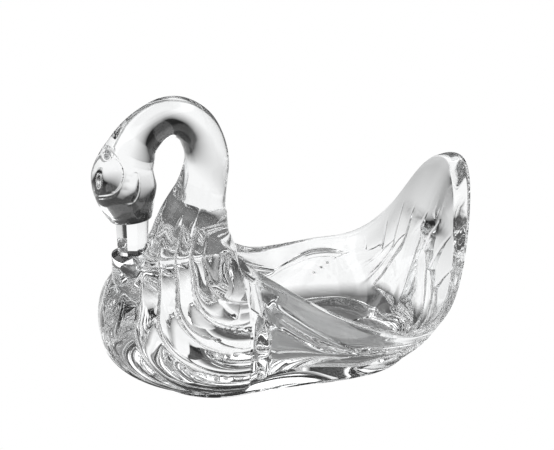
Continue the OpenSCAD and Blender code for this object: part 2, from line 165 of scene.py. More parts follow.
def pour(name, points, faces, joints, glass):
    """Makes one closed piece from points in millimetres, whose joint faces are marked as fused."""
    mesh = bpy.data.meshes.new(name)
    mesh.from_pydata([((x + seam_x) * mm, y * mm, z * mm) for x, y, z in points], [], faces)
    mesh.materials.append(glass)
    mesh.materials.append(fused)
    for face, joint in zip(mesh.polygons, joints):
        face.material_index = 1 if joint else 0
        face.use_smooth = True
    mesh.validate()
    mesh.set_sharp_from_angle(angle=math.radians(crease))
    work = bmesh.new()
    work.from_mesh(mesh)
    sharpen_joints(work)
    bmesh.ops.recalc_face_normals(work, faces=work.faces)
    work.to_mesh(mesh)
    work.free()
    return set_out(name, mesh)


def middle(ring):
    return tuple(sum(p[k] for p in ring) / len(ring) for k in range(3))


def skin(rings, is_joint, start_joint, end_joint):
    """Points, faces and joint marks of a closed skin through rings of equal count."""
    n = len(rings[0])
    last = (len(rings) - 1) * n
    points = [p for ring in rings for p in ring] + [middle(rings[0]), middle(rings[-1])]
    faces = []
    joints = []
    for i in range(len(rings) - 1):
        for j in range(n):
            a = i * n + j
            b = i * n + (j + 1) % n
            faces.append((a, b, b + n, a + n))
            joints.append(is_joint(i, j))
    for j in range(n):
        faces.append(((j + 1) % n, j, len(points) - 2))
        joints.append(start_joint)
    for j in range(n):
        faces.append((last + j, last + (j + 1) % n, len(points) - 1))
        joints.append(end_joint)
    return points, faces, joints


def never(i, j):
    """For a skin without joint faces between its rings."""
    return False


def place(c, r, z):
    """A spot on a column of the bowl: c runs 0 to 1 round the back, then 1 to 2 forward to the seam."""
    if c < 1:
        return (widest_x + r * cosd(90 * c), -r * sind(90 * c), z)
    return (widest_x * (2 - c), -r, z)


def foot_reach(a):
    """Reach of the foot from the turning axis at an angle, found by halving."""
    lo, hi = 0, foot_back
    for _ in range(24):
        r = (lo + hi) / 2
        x = widest_x + r * cosd(a)
        if x < foot_back and r * sind(a) < foot_half_w(x):
            lo = r
        else:
            hi = r
    return (lo + hi) / 2


reach_kept = {}


def foot_reach_at(c):
    """Reach of the foot on a column, worked out once for each."""
    if c not in reach_kept:
        reach_kept[c] = foot_reach(90 * c) if c < 1 else foot_half_w(widest_x * (2 - c))
    return reach_kept[c]


# columns of points round the back and along the side, and points round the front
back_n = 120
side_n = 84
front_n = 220
bowl_turns = [i / back_n for i in range(back_n + 1)]
bowl_turns += [2 - (1 - i / side_n) ** 1.5 for i in range(1, side_n + 1)]
front_turns = [90 + 180 * i / front_n for i in range(front_n + 1)]


def foot_outline():
    """The outline of the foot, with the same points as the parts that stand on it."""
    front = [(foot_front * cosd(a), foot_seam_w / 2 * sind(a)) for a in front_turns]
    side = [place(c, foot_reach_at(c), 0)[:2] for c in reversed(bowl_turns)]
    far = [(x, -y) for x, y in reversed(side[:-1])]
    return front[:-1] + side + far[:-1]


clear = fire_polished("fire_polished_bowl", 0.05, 22)
foot_centre_x = (foot_back - foot_front) / 2
foot_rings = []
for inset, z in ((foot_bevel, 0), (0, foot_bevel), (0, foot_t)):
    ring = []
    for x, y in foot_outline():
        r = math.hypot(x - foot_centre_x, y)
        ring.append((x - (x - foot_centre_x) / r * inset, y - y / r * inset, z))
    foot_rings.append(ring)
foot = pour("foot", *skin(foot_rings, never, False, True), clear)


# ---- Bowl ----
# The open crystal dish. Its outer wall, floor and front wall are pressed in one mould with the foot.
# The rim is reheated and rounded, and the wall thickens towards the tail.
bowl_w = 146
rim_seam_w = 62
rim_front_h = 81
rim_side_h = 36.5
tail_h = 111
wall_t = 5
tail_t = 12
floor_t = 13
front_wall_t = 6
side_swell = 3
front_swell = 8
tail_reach = 164
rim_back = tail_reach - widest_x
rim_n = 1.65
turn_r = 60
# length of the wall round a quarter of the back
quarter_run = 94
# how far the wall swells out at the back, at the widest place and at the seam
back_swell = -2.5
widest_swell = 3
seam_swell = 9
back_flare = 1.5


def rim_half_w(x):
    """Half the width over the rim, at a distance behind the seam."""
    return mix(rim_seam_w, bowl_w, (1 - cosd(180 * x / widest_x)) / 2) / 2


def rim_z(c):
    """Height of the rim: lowest at the widest place, and rising to the tail and to the seam."""
    if c < 1:
        return mix(rim_side_h, tail_h, max(cosd(90 * c**1.1), 0) ** 3.1)
    return mix(rim_side_h, rim_front_h, (c - 1) ** 1.8)


def swell(c):
    """How far the wall bulges at half height, on a column."""
    if c < 1:
        return mix(back_swell, widest_swell, c)
    return mix(widest_swell, seam_swell, ease(c - 1))


def flare(c):
    """How far the back wall leans out below and in above, on a column."""
    return back_flare * cosd(90 * c) ** 2 if c < 1 else 0


def rim_reach(a):
    """Reach of the rim from the turning axis at an angle."""
    return ((cosd(a) / rim_back) ** rim_n + (2 * sind(a) / bowl_w) ** rim_n) ** (-1 / rim_n)


def wall_reach(c, v):
    """Reach of the plain outer wall on a column, at a share v of the rim's height."""
    t = swell(c) * sind(180 * v) + flare(c) * sind(360 * v)
    rim = rim_reach(90 * c) if c < 1 else rim_half_w(widest_x * (2 - c))
    return mix(foot_reach_at(c), rim, v) + t


def height(c, v):
    return mix(foot_t, rim_z(c), v)


# Long rounded tail feathers rise and fan out over the back wall.
finger_w = 7
finger_dip = 3
finger_n = 5
finger_turn = 15
finger_lean = 46
finger_low_h = 10
finger_start_h = 12
finger_end_h = tail_h * 0.66
finger_end_c = 1.35
finger_end_v = 0.88


def finger(c, z):
    """How far inside a long tail feather a spot on the back wall is: 1 on its spine, 0 off it."""
    best = -9
    for i in range(finger_n):
        tip_z = mix(tail_h * 0.6, rim_side_h * 0.95, (i / (finger_n - 1)) ** 0.8)
        rise = clamp((z - finger_low_h) / (tip_z - finger_low_h))
        lean = finger_lean * (1 - rise) ** 1.2 if i else 0
        off = math.radians(90 * c - finger_turn * i - lean) * turn_r
        end = 0 if z > tip_z else min(1, math.sqrt((tip_z - z) / finger_w))
        best = max(best, 1 - (abs(off) / (finger_w * max(end, 0.05))) ** 2)
    return best


def dip(c, v):
    """How far the back wall is sunk between the tail feathers."""
    z = height(c, v)
    k = ease((z - finger_start_h) / 8) * ease((finger_end_h - z) / 6)
    k *= ease((finger_end_c - c) / 0.2) * ease((finger_end_v - v) / 0.25)
    return finger_dip * k * (1 - ease(finger(c, z))) if k > 0 else 0


def outer(c, v):
    return place(c, wall_reach(c, v) - dip(c, v), height(c, v))


# Three folds of the wing run back from the seam: run of the change, far height, and change of height.
fold_low_run = 95
fold_low_h = 11
fold_low_rise = 15
fold_mid_run = 60
fold_mid_gap = 1.5
fold_mid_fall = 49
fold_top_run = 80
fold_top_h = 21
fold_top_fall = 58
fold_top_max = rim_front_h - 5
fold_gap = 0.012
row_steps = [10, 14, 20, 14]
rim_share = 0.96
plain_shares = [0, 0.12, 0.34, 0.56, rim_share]


def seam_run(c):
    """Distance along the wall from the seam to a column."""
    return widest_x + (1 - c) * quarter_run if c < 1 else widest_x * (2 - c)


def fold_low(s):
    return fold_low_h + fold_low_rise * (1 - clamp(1 - s / fold_low_run) ** 1.6)


def fold_mid(s):
    return fold_low(s) + fold_mid_gap + fold_mid_fall * clamp(1 - s / fold_mid_run) ** 1.5


def fold_top(s):
    z = fold_top_h + fold_top_fall * clamp(1 - s / fold_top_run) ** 1.5
    return max(fold_mid(s) + 2, min(z, fold_top_max))


def rows(c):
    """Shares of the wall's height at which rows of points lie, with a narrow step at each wing fold."""
    s = seam_run(c)
    h = rim_z(c)
    even = ease((0.75 - c) / 0.35)
    folds = [(z - foot_t) / (h - foot_t) for z in (fold_low(s), fold_mid(s), fold_top(s))]
    share = [0, *folds, rim_share]
    stop = [mix(min(share[i], rim_share - (4 - i) * 0.06), plain_shares[i], even) for i in range(5)]
    made = []
    for i in range(4):
        low = stop[i] + (fold_gap if i else 0)
        made += [mix(low, stop[i + 1], k / row_steps[i]) for k in range(row_steps[i] + 1)]
    return made + [1]


def edge_t(c):
    """Thickness of the wall at the rim."""
    return mix(wall_t, tail_t, cosd(90 * c) ** 2) if c < 1 else wall_t


# radii of the hollow, from wall to floor and at its front corners
hollow_r = 17
corner_r = 12
lip_rise = 1
lip_n = 7
inner_n = 34


def inner(c, g):
    """A spot on the hollow's wall, from the rim at g = 0 down to the flat floor at g = 1."""
    h = rim_z(c)
    r0 = min(hollow_r, (h - floor_t) * 0.7)
    z = mix(h, floor_t + r0, g * 2) if g < 0.5 else floor_t + r0 * (1 - sind(180 * (g - 0.5)))
    v = (z - foot_t) / (h - foot_t)
    back = r0 * (1 - math.sqrt(1 - (1 - clamp((z - floor_t) / r0)) ** 2))
    r = wall_reach(c, v) - edge_t(c) - side_swell * (1 - v) - back
    if c < 1:
        return place(c, r, z)
    x = widest_x * (2 - c)
    bend = min(corner_r, r * 0.6)
    cut = bend - math.sqrt(max(bend**2 - max(bend - x, 0) ** 2, 0))
    near = front_wall_t + back + front_swell * (1 - v)
    return (mix(near, widest_x, x / widest_x), -(r - cut), z)


def lip_spots(c):
    """The rounded rim between the outer and inner walls."""
    a = Vector(outer(c, 1))
    b = Vector(inner(c, 0))
    spots = []
    for k in range(1, lip_n + 1):
        w = 0.5 - 0.5 * math.cos(math.pi * k / (lip_n + 1))
        p = a.lerp(b, w)
        p.z += lip_rise * ease((2 - c) / 0.12) * math.sqrt(max(1 - (2 * w - 1) ** 4, 0))
        spots.append(tuple(p))
    return spots


across_n = 18


def bowl_column(c):
    """Spots up the outside, over the rim and down the inside."""
    return [outer(c, v) for v in rows(c)] + lip_spots(c) + [inner(c, i / inner_n) for i in range(inner_n + 1)]


half = [bowl_column(c) for c in bowl_turns]
for i in range(1, across_n + 1):
    half.append([(x, y * (1 - i / across_n), z) for x, y, z in half[len(bowl_turns) - 1]])
columns = half + [[(x, -y, z) for x, y, z in column] for column in reversed(half[1:-1])]
outer_rows = sum(row_steps) + len(row_steps) + 1
# the wings end round the back, after a taper
wing_end = 0.8
wing_taper = 0.12
first_wing = next(i for i, c in enumerate(bowl_turns) if c >= wing_end)


def under_wing_or_breast(i, j):
    """True for the outer faces that the wings and the breast cover."""
    near = j if j < len(columns) / 2 else len(columns) - 1 - j
    on_wall = i < outer_rows - 1 and near >= first_wing
    on_lip = outer_rows - 1 <= i < outer_rows + lip_n and near >= len(bowl_turns) - 1
    return on_wall or on_lip


# a narrow flat ring lies between the hollow's round foot and the middle of its floor
dish_rings = [[column[k] for column in columns] for k in range(len(columns[0]))]
floor_middle = middle(dish_rings[-1])
floor_flat = 0.04
flat_ring = [tuple(mix(a, b, floor_flat) for a, b in zip(p, floor_middle)) for p in dish_rings[-1]]
dish_rings.append(flat_ring)
dish_points, dish_faces, dish_joints = skin(dish_rings, under_wing_or_breast, True, False)


tail_joint_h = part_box("tail")[0].z / mm


def cut_dish(name, keep_tail, glass):
    """The dish's skin cut level at the tail joint, with the part on one side kept and closed."""
    work = bmesh.new()
    spots = [work.verts.new(((x + seam_x) * mm, y * mm, z * mm)) for x, y, z in dish_points]
    for corners, joint in zip(dish_faces, dish_joints):
        face = work.faces.new([spots[k] for k in corners])
        face.material_index = 1 if joint else 0
        face.smooth = True
    reach = (seam_x + widest_x) * mm
    high = [face for face in work.faces if face.calc_center_median().x > reach]
    around = {edge for face in high for edge in face.edges}
    corners = {vert for face in high for vert in face.verts}
    bmesh.ops.bisect_plane(
        work, geom=[*high, *around, *corners], plane_co=(0, 0, tail_joint_h * mm), plane_no=(0, 0, 1)
    )
    drop = []
    for face in work.faces:
        spot = face.calc_center_median()
        in_tail = spot.x > reach and spot.z > tail_joint_h * mm
        if in_tail != keep_tail:
            drop.append(face)
    bmesh.ops.delete(work, geom=drop, context="FACES")
    loose = [edge for edge in work.edges if edge.is_boundary]
    made = bmesh.ops.triangle_fill(work, edges=loose, use_beauty=True)
    for part in made["geom"]:
        if isinstance(part, bmesh.types.BMFace):
            part.material_index = 1
    bmesh.ops.recalc_face_normals(work, faces=work.faces)
    sharpen_joints(work)
    mesh = bpy.data.meshes.new(name)
    work.to_mesh(mesh)
    work.free()
    mesh.materials.append(glass)
    mesh.materials.append(fused)
    return set_out(name, mesh)


bowl = cut_dish("bowl", False, clear)


# ---- Tail ----
# The plume behind the bowl, drawn up while the glass is hot, with the feathers pressed in its outside.
# It carries the back wall on up from a level joint, so it is the upper part of the same skin.
tail = cut_dish("tail", True, clear)


# ---- Wings ----
# Three overlapping layers of crystal feathers on each side of the bowl, pressed in the mould.
# The middle layer is a blade, thickest in the bead along its lower edge.
# A lens-shaped post stands where each wing meets the breast.
wing_t = 4.2
wing_edge_t = 1.2
wing_min_t = 0.15
wing_top_t = 0.25
shoulder_run = 22
bead_w = 0.42
# the post: its run behind the seam, half width, thickness, mid height and half height
post_run = 8.5
post_w = 5
post_t = 2.16
post_h = 33
post_half_l = 21


def layer_t(i, f):
    """Thickness of the layers from the base up: a band, a hollow facet, a beaded blade, a rim."""
    f = min(f, 1)
    hollow = (2 * f - 1) ** 2
    if i == 0:
        return mix(wing_edge_t, wing_t * 0.6, f**2)
    if i == 1:
        return mix(wing_edge_t, wing_t * 0.9, hollow)
    if i == 2 and f < bead_w:
        return wing_t * mix(1, 0.45, (2 * f / bead_w - 1) ** 2)
    if i == 2:
        return wing_t * mix(0.3, 0.75, (2 * (f - bead_w) / (1 - bead_w) - 1) ** 2)
    return mix(wing_t * 0.75, wing_edge_t, f**0.5)


def post(s, z):
    """Thickness that the lens-shaped post adds."""
    tall = 1 - ((z - post_h) / post_half_l) ** 2
    if tall <= 0:
        return 0
    return post_t * math.sqrt(max(0, 1 - ((s - post_run) / (post_w * math.sqrt(max(0.01, tall)))) ** 2))


def wing_t_at(c, i, f, z):
    """Thickness of the wing on a column, in a layer, at a share f of that layer and a height."""
    s = seam_run(c)
    flat = ease((shoulder_run - s) / 3) if i > 1 else 0
    fade = ease((c - wing_end) / wing_taper)
    layer = layer_t(i, f)
    if i == 1:
        layer = mix(wing_t * 0.45, layer, ease((fold_mid(s) - fold_low(s) - 2) / 6))
    plain = mix(layer, wing_t * 0.75, flat)
    return max(mix(wing_min_t, plain + post(s, z), fade), wing_min_t)


# the layer of each row, and its share of that layer, with the rim last
past_rim = 1.3
wing_marks = [(i, k / row_steps[i]) for i in range(4) for k in range(row_steps[i] + 1)] + [(3, past_rim)]


def wing_column(c):
    """Spots up the outside of the wing and back down the wall under it."""
    shares = rows(c)
    proud = []
    under = []
    for (i, f), v in zip(wing_marks, shares):
        z = height(c, v)
        r = wall_reach(c, v) - dip(c, v)
        t = wing_t_at(c, i, f, z) if f < past_rim else wing_top_t
        proud.append(place(c, r + t, z))
        under.append(outer(c, v))
    return proud + under[::-1]


def wing(name, side, glass):
    """One wing: a thin closed skin whose inner side lies on the bowl."""
    cols = [wing_column(c) for c in bowl_turns if c >= wing_end]
    n = len(cols[0])
    h = n // 2
    last = (len(cols) - 1) * n
    points = [(x, y * side, z) for column in cols for x, y, z in column]
    faces = []
    joints = []
    for i in range(len(cols) - 1):
        for j in range(n):
            a = i * n + j
            b = i * n + (j + 1) % n
            faces.append((a, b, b + n, a + n))
            joints.append(h <= j < n - 1)
    for j in range(h - 1):
        faces.append((j + 1, j, n - 1 - j, n - 2 - j))
        joints.append(False)
        faces.append((last + j, last + j + 1, last + n - 2 - j, last + n - 1 - j))
        joints.append(True)
    return pour(name, points, faces, joints, glass)


left_wing = wing("left_wing", 1, clear)
right_wing = wing("right_wing", -1, clear)


# ---- Breast ----
# The solid crystal chest, pressed with ribs that fan down from the neck and sweep back to the wings.
# Its flat back is one glass with the bowl's front wall.
breast_reach = 75
breast_w = 102
breast_mid_h = 46
neck_joint_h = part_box("breast")[1].z / mm
breast_high = 58
side_mid_h = 38
shoulder_h = 52
neck_base_a = 22
neck_base_b = 17
neck_base_x = -17
stem_front = 0.4
stem_side = 0.35
# depths over which the breast and its sides round in, down to the foot
breast_low = (breast_mid_h - foot_t) / (1 - (foot_front / breast_reach) ** 2.6) ** (1 / 2.6)
side_low = (side_mid_h - foot_t) / (1 - (foot_seam_w / breast_w) ** 3) ** (1 / 3)
# Feather rolls lie between nested arcs, that fall from the neck and sweep back to the seam.
roll_w = 11
roll_depth = 2.4
first_arc_reach = 33
first_arc_drop = 22
arc_drop_step = 9
first_arc_h = 72
arc_h_step = 7
arc_lean = 0.42
first_groove = -1
roll_fade = 22
# the rolls stop short of the chest pad
pad_w = 25
pad_x = -57


def soft_max(a, b, n):
    """The larger of two lengths, with the corner between them rounded."""
    return (max(a, 0) ** n + max(b, 0) ** n) ** (1 / n)


def breast_front(z):
    """Reach of the breast in front of the seam, at a height."""
    if z < breast_mid_h:
        return breast_reach * round_off((breast_mid_h - z) / breast_low, 2.6)
    body = breast_reach * round_off((z - breast_mid_h) / breast_high, 1.8)
    stem = neck_base_a - neck_base_x + (neck_joint_h - z) * stem_front
    return mix(body, soft_max(body, stem, 8), ease((z - breast_mid_h) / 20))


def breast_half_w(z):
    """Half the width of the breast, at a height."""
    if z < side_mid_h:
        return breast_w / 2 * round_off((side_mid_h - z) / side_low, 3)
    body = breast_w / 2 * round_off((z - side_mid_h) / shoulder_h, 2.4)
    stem = neck_base_b + (neck_joint_h - z) * stem_side
    return mix(body, soft_max(body, stem, 7), ease((z - side_mid_h) / 25))


def breast_mid_x(z):
    """Middle of a ring of the breast along X: at the seam, and moving forward above the bowl's front."""
    return neck_base_x * ease((z - rim_front_h) / (neck_joint_h - rim_front_h))


def breast_back(z):
    """Reach of a ring of the breast behind its own middle."""
    return (neck_base_a + neck_base_x) * ease((z - rim_front_h) / 12) - breast_mid_x(z)


def outside_arc(x, z, k):
    """Whether a spot on the side of the breast lies outside the nested arc number k."""
    reach = first_arc_reach + roll_w * k
    up = z - first_arc_h + arc_h_step * k
    if up < 0:
        return math.hypot(x / reach, up / (first_arc_drop + arc_drop_step * k)) > 1
    return abs(x) + arc_lean * up * up / (up + 8) > reach


def arc_at(x, z):
    """Which of the nested arcs a spot on the side of the breast lies on: whole numbers are grooves."""
    lo, hi = -2.4, 7
    for _ in range(16):
        k = (lo + hi) / 2
        if outside_arc(x, z, k):
            lo = k
        else:
            hi = k
    return (lo + hi) / 2


def roll_dip(u):
    """0 on the crown of a roll, 1 in the groove beside it."""
    return abs(2 * u - 1) ** 2.4


def groove(x, y, z):
    """How far the breast is sunk at a spot."""
    k = arc_at(x, z)
    dip_at = max(0, 1 - (first_groove - k) / 0.5) ** 2 if k < first_groove else roll_dip(k % 1)
    share = 0.45 if k < first_groove + 0.5 else 1
    fade = ease((abs(y) - 3) / 8) * (1 - ease((z - neck_joint_h + 8) / roll_fade)) * ease((z - foot_t) / 5)
    clear_of_pad = ease((math.hypot(x - pad_x, y) - pad_w / 2) / 5)
    return roll_depth * dip_at * share * fade * clear_of_pad


back_side_n = 8
back_mid_n = 36
seam_c = 2
wing_column_at_seam = wing_column(seam_c)


def seam_cover_w(z):
    """Half the width of the bowl and wings together where they meet the breast, at a height."""
    shares = rows(seam_c)
    heights = [height(seam_c, v) for v in shares]
    widths = [-wing_column_at_seam[k][1] for k in range(len(shares))]
    for k in range(len(shares) - 1):
        if heights[k] <= z <= heights[k + 1]:
            return mix(widths[k], widths[k + 1], (z - heights[k]) / max(heights[k + 1] - heights[k], 1e-9))
    return widths[-1] if z > heights[-1] else widths[0]


def back_turns(z, w):
    """Angles across the back of a ring: a ledge, the width that the bowl covers, and a ledge."""
    even = 90 * back_mid_n / (back_mid_n + 2 * back_side_n)
    cover = math.degrees(math.asin(min(seam_cover_w(min(z, rim_front_h)) / w, 0.995)))
    e = mix(cover, even, ease((z - rim_front_h) / 8))
    turns = [270 + (90 - e) * i / back_side_n for i in range(1, back_side_n + 1)]
    turns += [360 - e + 2 * e * i / back_mid_n for i in range(1, back_mid_n + 1)]
    return turns + [360 + e + (90 - e) * i / back_side_n for i in range(1, back_side_n)]


def lap(y, z):
    """How far the foot of the neck laps back over the top of the bowl's front wall."""
    if z <= rim_front_h:
        return 0
    share = clamp((rim_seam_w / 2 - abs(y)) / (wall_t + corner_r))
    return front_wall_t * share * (1 - ease((z - rim_front_h) / 16))


def breast_ring(z):
    """One level ring of the breast, from its left side round the front and back across the seam."""
    front = breast_front(z)
    w = breast_half_w(z)
    c = breast_mid_x(z)
    back = breast_back(z)
    ring = []
    for a in front_turns + back_turns(z, w * (1 - groove(0, w, z) / w)):
        reach = front + c if cosd(a) < 0 else back
        x = reach * cosd(a)
        y = w * sind(a)
        on_front = cosd(a) < 0.001
        k = 1 - groove(c + x, y, z) / max(math.hypot(x, y), 1) if on_front else 1 - groove(0, w, z) / w
        over = 0 if on_front else lap(y * k, z)
        ring.append((c + x * k + over, y * k, z))
    return ring


low_n = 44
mid_n = 34
lap_step = 0.1
high_n = 34
levels = [mix(foot_t, breast_mid_h, sind(90 * i / low_n)) for i in range(low_n)]
levels += [mix(breast_mid_h, rim_front_h, i / mid_n) for i in range(mid_n + 1)]
levels += [mix(rim_front_h + lap_step, neck_joint_h, i / high_n) for i in range(high_n + 1)]


def against_bowl(i, j):
    """True for the flat back faces that the bowl's front wall covers."""
    low = levels[i + 1] <= rim_front_h + lap_step + 0.001
    return low and front_n + back_side_n <= j < front_n + back_side_n + back_mid_n


breast = pour("breast", *skin([breast_ring(z) for z in levels], against_bowl, True, True), clear)


# ---- Neck ----
# A thick rod of crystal drawn up from the chest while hot and bent over in a loop.
# It is one glass with the breast below and the head beyond.
overall_h = 182.5
neck_d = 23.6
loop_span = 50
head_l = 40
head_w = 29
bill_l = 22
bill_w = 15
bill_d = 20.5
neck_x = -7
top_z = overall_h - neck_d / 2
neck_r = neck_d / 2
head_x = neck_x - loop_span
bill_seat_x = head_x + 3
bill_tip_h = 89.5
bill_root_h = bill_tip_h + bill_l
head_rise = 25.5
head_mid_h = bill_root_h + head_rise
# each station: along X, height, half size in the middle plane, half size across
neck_line = [
    (neck_base_x, neck_joint_h, neck_base_a, neck_base_b),
    (neck_x - 3.5, neck_joint_h + 16, neck_r * 1.3, neck_r * 1.24),
    (neck_x + 0.5, mix(neck_joint_h, top_z, 0.55), neck_r * 1.1, neck_r * 1.1),
    (neck_x - 4.5, mix(neck_joint_h, top_z, 0.82), neck_r * 1.03, neck_r * 1.04),
    (neck_x - loop_span * 0.28, mix(neck_joint_h, top_z, 0.965), neck_r, neck_r * 1.01),
    (neck_x - loop_span * 0.48, top_z, neck_r, neck_r),
    (neck_x - loop_span * 0.7, mix(head_mid_h, top_z, 0.88), neck_r * 1.02, neck_r * 1.02),
    (neck_x - loop_span * 0.87, mix(head_mid_h, top_z, 0.66), neck_r * 1.15, neck_r * 1.06),
    (head_x + 1, mix(head_mid_h, top_z, 0.36), mix(neck_r, head_l / 2, 0.6), mix(neck_r, head_w / 2, 0.6)),
]


def through(stations, t):
    """A smooth curve through a list of stations, from t = 0 to t = 1."""
    n = len(stations) - 1
    u = clamp(t) * n
    i = min(int(u), n - 1)
    f = u - i
    made = []
    for k in range(len(stations[0])):
        a, b, c, d = (stations[m][k] for m in (max(i - 1, 0), i, i + 1, min(i + 2, n)))
        bend = (2 * a - 5 * b + 4 * c - d) * f**2 / 2 + (3 * b - a - 3 * c + d) * f**3 / 2
        made.append(b + (c - a) * f / 2 + bend)
    return made


def bearing(line, t):
    """Heading of a line of stations in the middle plane, in degrees."""
    a = through(line, max(t - 0.01, 0))
    b = through(line, min(t + 0.01, 1))
    return math.degrees(math.atan2(b[1] - a[1], b[0] - a[0])) % 360


joint_bearing = bearing(neck_line, 1)


def neck_bearing(t):
    """Heading of the neck's rings, which lie flat on the joints at both ends."""
    return mix(mix(90, bearing(neck_line, t), ease(t / 0.12)), joint_bearing, ease((t - 0.9) / 0.1))


def tube_spot(s, heading, a):
    """A spot on the ring round a station, at an angle from the middle plane."""
    u = s[2] * cosd(a)
    return (s[0] + u * sind(heading), s[3] * sind(a), s[1] - u * cosd(heading))


def grooved(x, y, z, c):
    """A spot on the foot of the neck, sunk where the grooves of the breast carry on up it."""
    if z > neck_joint_h + roll_fade or x > c:
        return (x, y, z)
    k = 1 - groove(x, y, z) / max(math.hypot(x - c, y), 1)
    return (c + (x - c) * k, y * k, z)


neck_turns = front_turns + back_turns(neck_joint_h, neck_base_b)
neck_n = 170
groove_end = 0.3
neck_rings = []
for i in range(neck_n + 1):
    t = i / neck_n
    s = through(neck_line, t)
    ring = [tube_spot(s, neck_bearing(t), a) for a in neck_turns]
    neck_rings.append([grooved(*spot, s[0]) for spot in ring] if t < groove_end else ring)
neck_glass = fire_polished("fire_polished_neck", 0.06, 30)
neck = pour("neck", *skin(neck_rings, never, True, True), neck_glass)


# ---- Head ----
# The end of the drawn rod, pressed while soft between two tools that raise the teardrop eyes.
# A fine groove runs round each eye.
head_line = [
    neck_line[-1],
    (head_x - 1.5, head_mid_h, head_l / 2, head_w / 2),
    (head_x - 0.5, mix(bill_root_h, head_mid_h, 0.48), head_l * 0.43, head_w * 0.45),
    (bill_seat_x - 1, bill_root_h, bill_d * 0.62, bill_w * 0.58),
]
eye_top = (head_x + 0.6, head_mid_h + 10)
eye_low = (head_x - 4.4, head_mid_h - 10.3)
eye_half_w = 4.6
eye_bulge = 2.2
eye_groove = 0.35


def eye_rise(x, z):
    """How far the glass stands proud on the side of the head: the eye's dome, and the groove round it."""
    long_x = eye_top[0] - eye_low[0]
    long_z = eye_top[1] - eye_low[1]
    long = math.hypot(long_x, long_z)
    dx = x - (eye_top[0] + eye_low[0]) / 2
    dz = z - (eye_top[1] + eye_low[1]) / 2
    along = (dx * long_x + dz * long_z) / long
    across = (dx * long_z - dz * long_x) / long
    taper = 1 - 0.35 * along / long
    r = math.hypot(2 * along / long, across / (eye_half_w * taper))
    dome = eye_bulge * (1 - r * r) ** 2 if r < 1 else 0
    return dome - eye_groove * math.exp(-(((r - 1) / 0.1) ** 2))


head_n = 150
head_rings = []
for i in range(head_n + 1):
    t = i / head_n
    s = through(head_line, t)
    heading = mix(joint_bearing, 270, ease(t / 0.7))
    ring = []
    for a in neck_turns:
        x, y, z = tube_spot(s, heading, a)
        side = ease((abs(y) / s[3] - 0.55) / 0.3) * ease(t / 0.1) * ease((1 - t) / 0.15)
        rise = eye_rise(x, z) * side
        ring.append((x, y + math.copysign(rise, y), z))
    head_rings.append(ring)
head = pour("head", *skin(head_rings, never, True, True), neck_glass)


# ---- Chest pad and bill ----
# The bill is nipped from the end of the head and set down on a small domed pad on the breast.
# Both are hot glass pressed on to hot glass, so they leave only a fine line.
pad_edge_t = 0.6
seat_gap = 0.05
pad_l = 19
pad_droop = 5
bill_end = 0.92


def breast_top(x, y):
    """Height of the plain breast under a spot, found by halving."""
    lo, hi = 20, neck_joint_h
    for _ in range(18):
        z = (lo + hi) / 2
        c = breast_mid_x(z)
        if ((x - c) / (breast_front(z) + c)) ** 2 + (y / breast_half_w(z)) ** 2 < 1:
            lo = z
        else:
            hi = z
    return (lo + hi) / 2


def pad_spot(a, k):
    """A spot on the oval of the pad, k of the way out from its middle."""
    return (pad_x + k * pad_l / 2 * cosd(a), k * pad_w / 2 * sind(a))


def pad_low(p):
    return breast_top(*p) + seat_gap


def pad_top(p, k):
    return max(bill_tip_h - pad_droop * max(k - 0.5, 0) ** 1.5, pad_low(p) + pad_edge_t - seat_gap)


pad_n = 96
pad_steps = 16
pad_shares = [mix(0.1, 1, i / pad_steps) for i in range(pad_steps + 1)]
pad_rings = []
for k in pad_shares:
    ring = [pad_spot(360 * j / pad_n, k) for j in range(pad_n)]
    pad_rings.append([(*p, pad_low(p)) for p in ring])
for k in reversed(pad_shares):
    ring = [pad_spot(360 * j / pad_n, k) for j in range(pad_n)]
    pad_rings.append([(*p, pad_top(p, k)) for p in ring])
chest_pad = pour("chest_pad", *skin(pad_rings, never, False, False), clear)


def bill_spot(a, k):
    """A spot on the bill's lens-shaped section, k of its full size."""
    x = math.copysign(1 - abs(sind(a)) ** 1.8, cosd(a))
    return (bill_seat_x + k * bill_d / 2 * x, k * bill_w / 2 * sind(a))


def bill_seat(x, y):
    """Height of the bill's end, which rests on the pad, or on the breast where that rises higher."""
    return max(bill_tip_h, breast_top(x, y) + pad_edge_t) + seat_gap


bill_n = 120
bill_side = 24
bill_cap = 10
bill_rings = []
for i in range(bill_side + 1):
    share = i / bill_side
    ring = [bill_spot(360 * j / bill_n, mix(1, bill_end, share)) for j in range(bill_n)]
    bill_rings.append([(x, y, mix(bill_root_h, bill_seat(x, y), share)) for x, y in ring])
for i in range(1, bill_cap):
    ring = [bill_spot(360 * j / bill_n, bill_end * (1 - i / bill_cap)) for j in range(bill_n)]
    bill_rings.append([(x, y, bill_seat(x, y)) for x, y in ring])
bill = pour("bill", *skin(bill_rings, never, True, False), neck_glass)


# ---- Studio ----
# A round sheet of glowing paper under a soft bright sky with dark boards. The camera sees the paper white,
# but the glass sees a painted shadow under the swan and a painted pool of light that fades to near black far
# out.
# The boards are what puts the dark lines into clear glass.
scene = bpy.context.scene
floor_mesh = bpy.data.meshes.new("studio_floor")
floor_r = 30
floor_n = 24
floor_drop = 0.0003
floor_turns = [360 * i / floor_n for i in range(floor_n)]
floor_spots = [(floor_r * cosd(a), floor_r * sind(a), -floor_drop) for a in floor_turns]
floor_mesh.from_pydata(floor_spots, [], [tuple(range(floor_n))])
floor = bpy.data.objects.new("studio_floor", floor_mesh)
scene.collection.objects.link(floor)


def seen_white(tree, colour):
    """A light that looks white to the eye, and has its own colour in what the glass gathers."""
    path = tree.nodes.new("ShaderNodeLightPath")
    white = tree.nodes.new("ShaderNodeMix")
    white.data_type = "RGBA"
    tree.links.new(path.outputs["Is Camera Ray"], white.inputs["Factor"])
    tree.links.new(colour, white.inputs["A"])
    white.inputs["B"].default_value = (1, 1, 1, 1)
    return white.outputs["Result"]
